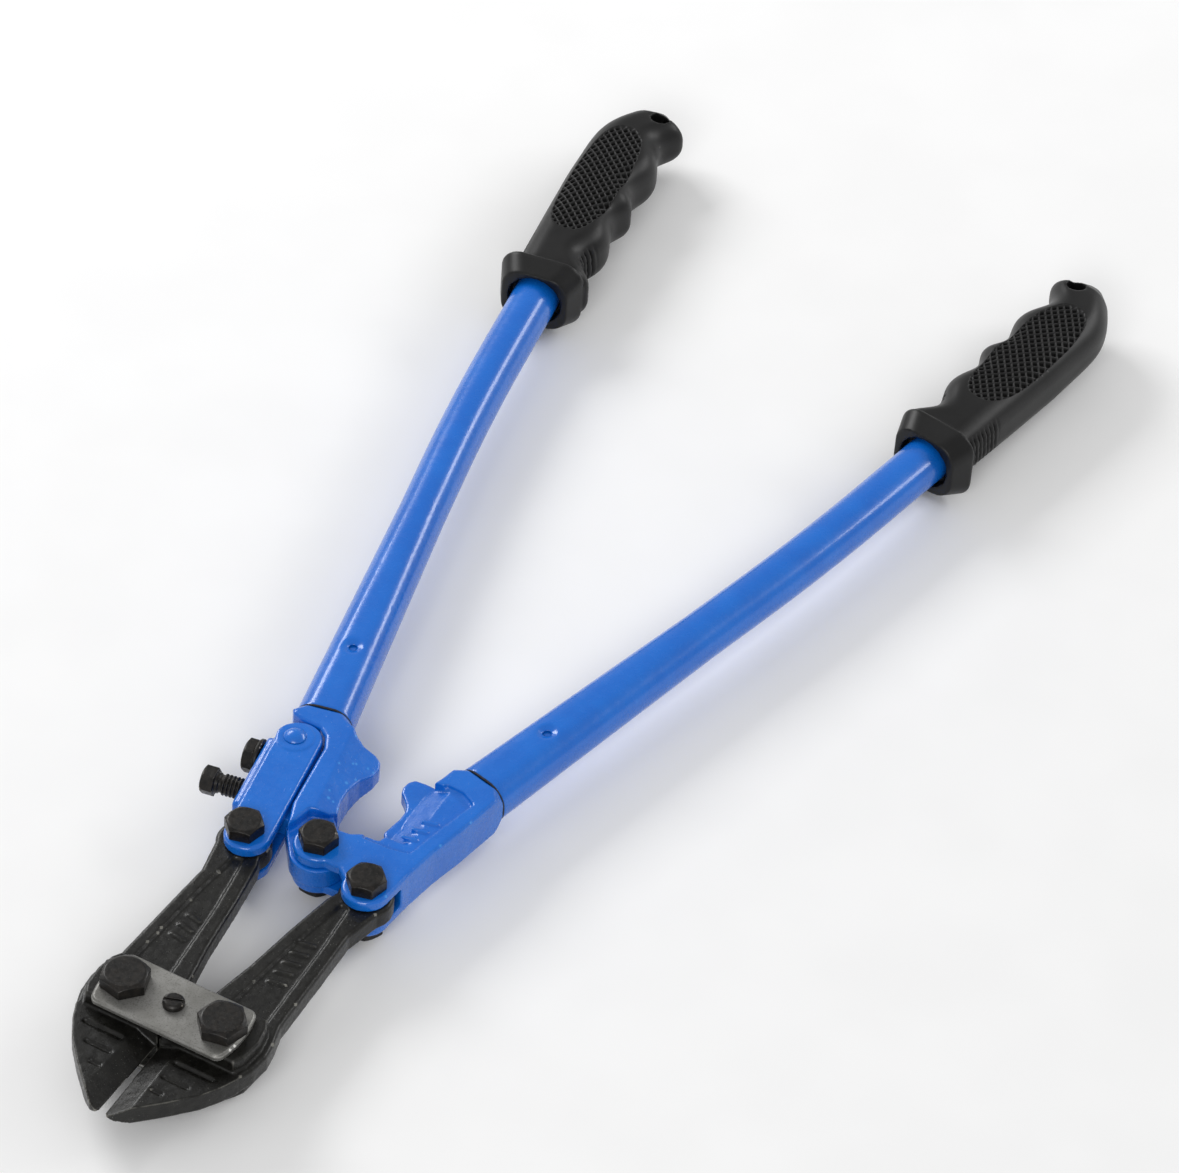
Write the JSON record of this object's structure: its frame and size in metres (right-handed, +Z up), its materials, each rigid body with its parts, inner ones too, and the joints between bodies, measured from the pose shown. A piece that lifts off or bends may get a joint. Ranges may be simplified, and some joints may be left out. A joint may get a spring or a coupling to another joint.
{
  "type": "bolt cutters",
  "caption": "Hand bolt cutters with centre-cut jaws, compound lever heads, adjusting link, tubular handles and moulded grips.",
  "frame": {"origin": "under the middle of the tool's bounding box, on the plane it rests on", "axes": "+Z up out of the flat side of the tool, +Y along the symmetry axis from the blades to the grips, +X to the handle head that carries the forked ears"},
  "size_m": [0.2348, 0.587, 0.0352],
  "materials": {
    "head_paint": "gloss enamel over cast or drawn steel",
    "tube_paint": "gloss enamel over cast or drawn steel",
    "grip_rubber": "matte moulded rubber with a soft sheen",
    "black_oxide": "oiled black oxide",
    "forged_jaw": "forged, black oxide, worn at the edges",
    "plate_steel": "satin ground steel with bright edges"
  },
  "bodies": {
    "right_handle": {"right_handle_head": "head_paint", "right_tube": "tube_paint", "right_grip": "grip_rubber", "centre_pivot_bolt": "black_oxide", "centre_pivot_nut": "black_oxide", "right_rear_bolt": "black_oxide", "right_rear_nut": "black_oxide"},
    "left_handle": {"left_handle_head": "head_paint", "left_tube": "tube_paint", "left_grip": "grip_rubber", "link_rivet": "head_paint"},
    "link": {"adjusting_link": "head_paint", "left_rear_bolt": "black_oxide", "left_rear_nut": "black_oxide"},
    "link_screw": {"adjusting_screw": "black_oxide"},
    "link_lock": {"lock_bolt": "black_oxide", "lock_washer": "black_oxide"},
    "right_blade": {"right_jaw": "forged_jaw"},
    "left_blade": {"left_jaw": "forged_jaw"},
    "jaw_plates": {"top_plate": "plate_steel", "bottom_plate": "plate_steel", "right_jaw_bolt": "black_oxide", "right_jaw_nut": "black_oxide", "left_jaw_bolt": "black_oxide", "left_jaw_nut": "black_oxide", "centre_screw": "black_oxide"}
  },
  "joints": [
    {"name": "handle_opening", "type": "hinge", "parent": "right_handle", "child": "left_handle", "pos_m": [0, -0.14728, 0.0172], "axis": [0, 0, 1], "range_deg": [-12.5, 70]},
    {"name": "right_jaw_hinge", "type": "hinge", "parent": "right_handle", "child": "right_blade", "pos_m": [0.026, -0.15668, 0.0172], "axis": [0, 0, 1], "range_deg": [-7.38, 41.31]},
    {"name": "right_plate_hinge", "type": "hinge", "parent": "right_blade", "child": "jaw_plates", "pos_m": [0.0203, -0.24568, 0.0172], "axis": [0, 0, 1], "range_deg": [-6.31, 1.14]},
    {"name": "left_plate_hinge", "type": "hinge", "parent": "jaw_plates", "child": "left_blade", "pos_m": [-0.0203, -0.24568, 0.0172], "axis": [0, 0, 1], "range_deg": [-6.31, 1.14]},
    {"name": "link_adjustment", "type": "hinge", "parent": "left_handle", "child": "link", "pos_m": [-0.0353, -0.10618, 0.0172], "axis": [0, 0, 1], "range_deg": [-0.7, 0.7]},
    {"name": "adjusting_screw_turn", "type": "hinge", "parent": "link", "child": "link_screw", "pos_m": [-0.03974, -0.13176, 0.0172], "axis": [-0.9835, -0.1811, 0], "range_deg": [-72.4, 72.4]},
    {"name": "lock_bolt_turn", "type": "hinge", "parent": "left_handle", "child": "link_lock", "pos_m": [-0.04293, -0.11445, 0.0172], "axis": [-0.9835, -0.1811, 0], "range_deg": [0, 180]}
  ],
  "couplings": [
    {"joint": "right_jaw_hinge", "follows": "handle_opening", "ratio": 0.59},
    {"joint": "right_plate_hinge", "follows": "handle_opening", "ratio": -0.09},
    {"joint": "left_plate_hinge", "follows": "handle_opening", "ratio": -0.09},
    {"joint": "adjusting_screw_turn", "follows": "link_adjustment", "ratio": -101.99}
  ]
}
